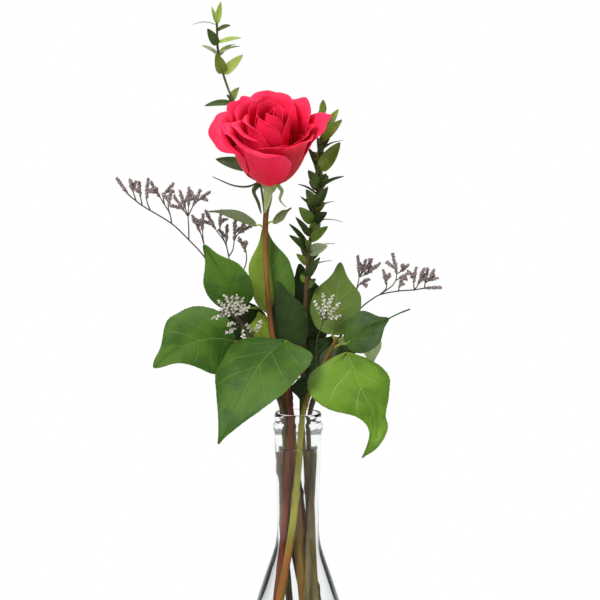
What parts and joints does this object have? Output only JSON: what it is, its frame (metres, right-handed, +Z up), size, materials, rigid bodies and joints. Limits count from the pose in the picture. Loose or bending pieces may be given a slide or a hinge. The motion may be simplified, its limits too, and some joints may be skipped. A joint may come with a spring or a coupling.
{
  "type": "rose in a bud vase",
  "caption": "Cut red rose with broad glossy leaves, small-leaved twigs and wiry sprays of tiny florets, standing in water in a clear glass bud vase.",
  "frame": {"origin": "centre of the vase base, on the surface it stands on", "axes": "+Z up along the vase's axis; -Y towards the front, the side the rose faces; +X to the right seen from the front"},
  "size_m": [0.1931, 0.1262, 0.464],
  "materials": {
    "glass": "clear, polished",
    "water": "clear",
    "rose_petal": "soft satin",
    "rose_stem": "satin bark, orange brown over green",
    "rose_green": "soft satin",
    "salal_bark": "matt bark",
    "salal_leaf": "leathery, satin gloss",
    "myrtle_light": "satin gloss",
    "myrtle_dark": "satin gloss",
    "limonium": "dry, matt"
  },
  "bodies": {
    "root": {"vase": "glass", "rose_stem": "rose_stem", "salal_stem_front": "salal_bark", "salal_stem_right": "salal_bark", "salal_stem_back": "salal_bark", "water": "water", "rose_petal_01": "rose_petal", "rose_petal_02": "rose_petal", "rose_petal_03": "rose_petal", "rose_petal_04": "rose_petal", "rose_petal_05": "rose_petal", "rose_petal_06": "rose_petal", "rose_petal_07": "rose_petal", "rose_petal_08": "rose_petal", "rose_petal_09": "rose_petal", "rose_petal_10": "rose_petal", "rose_petal_11": "rose_petal", "rose_petal_12": "rose_petal", "rose_petal_13": "rose_petal", "rose_petal_14": "rose_petal", "rose_petal_15": "rose_petal", "rose_petal_16": "rose_petal", "rose_petal_17": "rose_petal", "rose_petal_18": "rose_petal", "rose_petal_19": "rose_petal", "rose_petal_20": "rose_petal", "rose_petal_21": "rose_petal", "rose_petal_22": "rose_petal", "rose_petal_23": "rose_petal", "rose_petal_24": "rose_petal", "rose_heart": "rose_petal", "rose_hip": "rose_green", "rose_sepal_1": "rose_green", "rose_sepal_2": "rose_green", "rose_sepal_3": "rose_green", "rose_sepal_4": "rose_green", "rose_sepal_5": "rose_green", "salal_leaf_front": "salal_leaf", "salal_leaf_left": "salal_leaf", "salal_leaf_right": "salal_leaf", "salal_leaf_upper_left": "salal_leaf", "salal_leaf_upper_right": "salal_leaf", "salal_leaf_rolled": "salal_leaf", "salal_leaf_pale": "salal_leaf", "salal_leaf_upright": "salal_leaf", "salal_leaf_inner": "salal_leaf", "salal_leaf_shaded": "salal_leaf", "salal_leaf_low": "salal_leaf", "salal_leaf_middle": "salal_leaf", "salal_leaf_tucked": "salal_leaf", "salal_leaf_behind": "salal_leaf", "salal_leaf_under": "salal_leaf", "salal_leaf_back_left": "salal_leaf", "salal_leaf_back_right": "salal_leaf", "rose_leaf_left": "rose_green", "rose_leaf_right": "rose_green", "myrtle_left": "myrtle_light", "myrtle_right": "myrtle_dark", "limonium_left": "limonium", "limonium_right": "limonium"}
  },
  "joints": []
}
